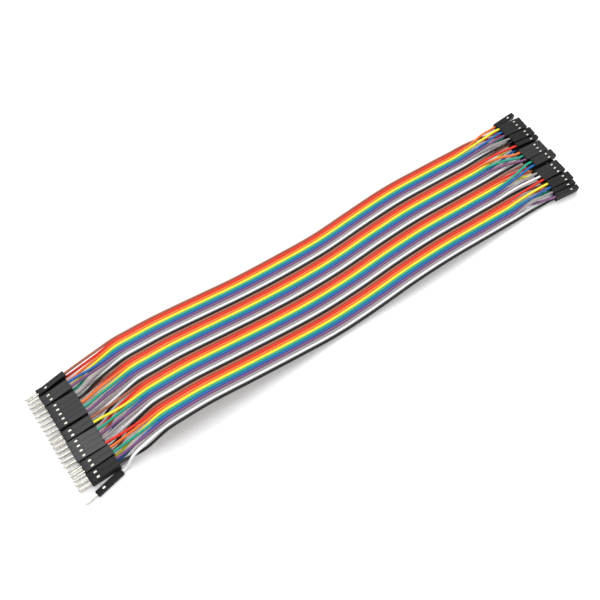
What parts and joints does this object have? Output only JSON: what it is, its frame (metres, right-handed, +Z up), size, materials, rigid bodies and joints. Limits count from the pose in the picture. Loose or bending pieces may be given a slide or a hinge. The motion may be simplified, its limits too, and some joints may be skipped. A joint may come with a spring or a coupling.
{
  "type": "ribbon of breadboard jumper wires",
  "caption": "Rainbow ribbon of bonded jumper wires lying flat, a pin in a black housing at one end of each wire and a socket in a black housing at the other.",
  "frame": {"origin": "middle of the box around the crimp housings, on the table that they lie on", "axes": "+X along the ribbon from the pin ends to the socket ends, +Y across it towards the first brown wire, +Z up from the table"},
  "size_m": [0.2959, 0.0616, 0.0133],
  "materials": {
    "housing_black": "fine moulded texture, slightly satin",
    "terminal_metal": "tin-plated bronze, stamped",
    "wire_brown": "soft extruded insulation with a dull sheen",
    "wire_red": "soft extruded insulation with a dull sheen",
    "wire_orange": "soft extruded insulation with a dull sheen",
    "wire_yellow": "soft extruded insulation with a dull sheen",
    "wire_green": "soft extruded insulation with a dull sheen",
    "wire_blue": "soft extruded insulation with a dull sheen",
    "wire_purple": "soft extruded insulation with a dull sheen",
    "wire_grey": "soft extruded insulation with a dull sheen",
    "wire_white": "soft extruded insulation with a dull sheen",
    "wire_black": "soft extruded insulation with a dull sheen"
  },
  "bodies": {
    "root": {"male_lower_row": "housing_black", "male_upper_row_a": "housing_black", "male_upper_row_b": "housing_black", "male_upper_row_c": "housing_black", "male_upper_row_d": "housing_black", "male_upper_row_e": "housing_black", "male_upper_row_f": "housing_black", "male_far_housing": "housing_black", "male_near_housing": "housing_black", "female_lower_row": "housing_black", "female_upper_row_a": "housing_black", "female_upper_row_b": "housing_black", "female_upper_row_c": "housing_black", "female_upper_row_d": "housing_black", "female_upper_row_e": "housing_black", "female_upper_row_f": "housing_black", "female_upper_row_g": "housing_black", "female_upper_row_h": "housing_black", "female_upper_row_i": "housing_black", "female_far_housing": "housing_black", "wire_01_brown": "wire_brown", "wire_02_red": "wire_red", "wire_03_orange": "wire_orange", "wire_04_yellow": "wire_yellow", "wire_05_green": "wire_green", "wire_06_blue": "wire_blue", "wire_07_purple": "wire_purple", "wire_08_grey": "wire_grey", "wire_09_white": "wire_white", "wire_10_black": "wire_black", "wire_11_brown": "wire_brown", "wire_12_red": "wire_red", "wire_13_orange": "wire_orange", "wire_14_yellow": "wire_yellow", "wire_15_green": "wire_green", "wire_16_blue": "wire_blue", "wire_17_purple": "wire_purple", "wire_18_grey": "wire_grey", "wire_19_white": "wire_white", "wire_20_black": "wire_black", "wire_21_brown": "wire_brown", "wire_22_red": "wire_red", "wire_23_orange": "wire_orange", "wire_24_yellow": "wire_yellow", "wire_25_green": "wire_green", "wire_26_blue": "wire_blue", "wire_27_purple": "wire_purple", "wire_28_grey": "wire_grey", "wire_29_white": "wire_white", "wire_30_black": "wire_black", "wire_31_brown": "wire_brown", "wire_32_red": "wire_red", "wire_33_orange": "wire_orange", "wire_34_yellow": "wire_yellow", "wire_35_green": "wire_green", "wire_36_blue": "wire_blue", "wire_37_purple": "wire_purple", "wire_38_grey": "wire_grey", "wire_39_white": "wire_white", "wire_40_black": "wire_black"}
  },
  "joints": []
}
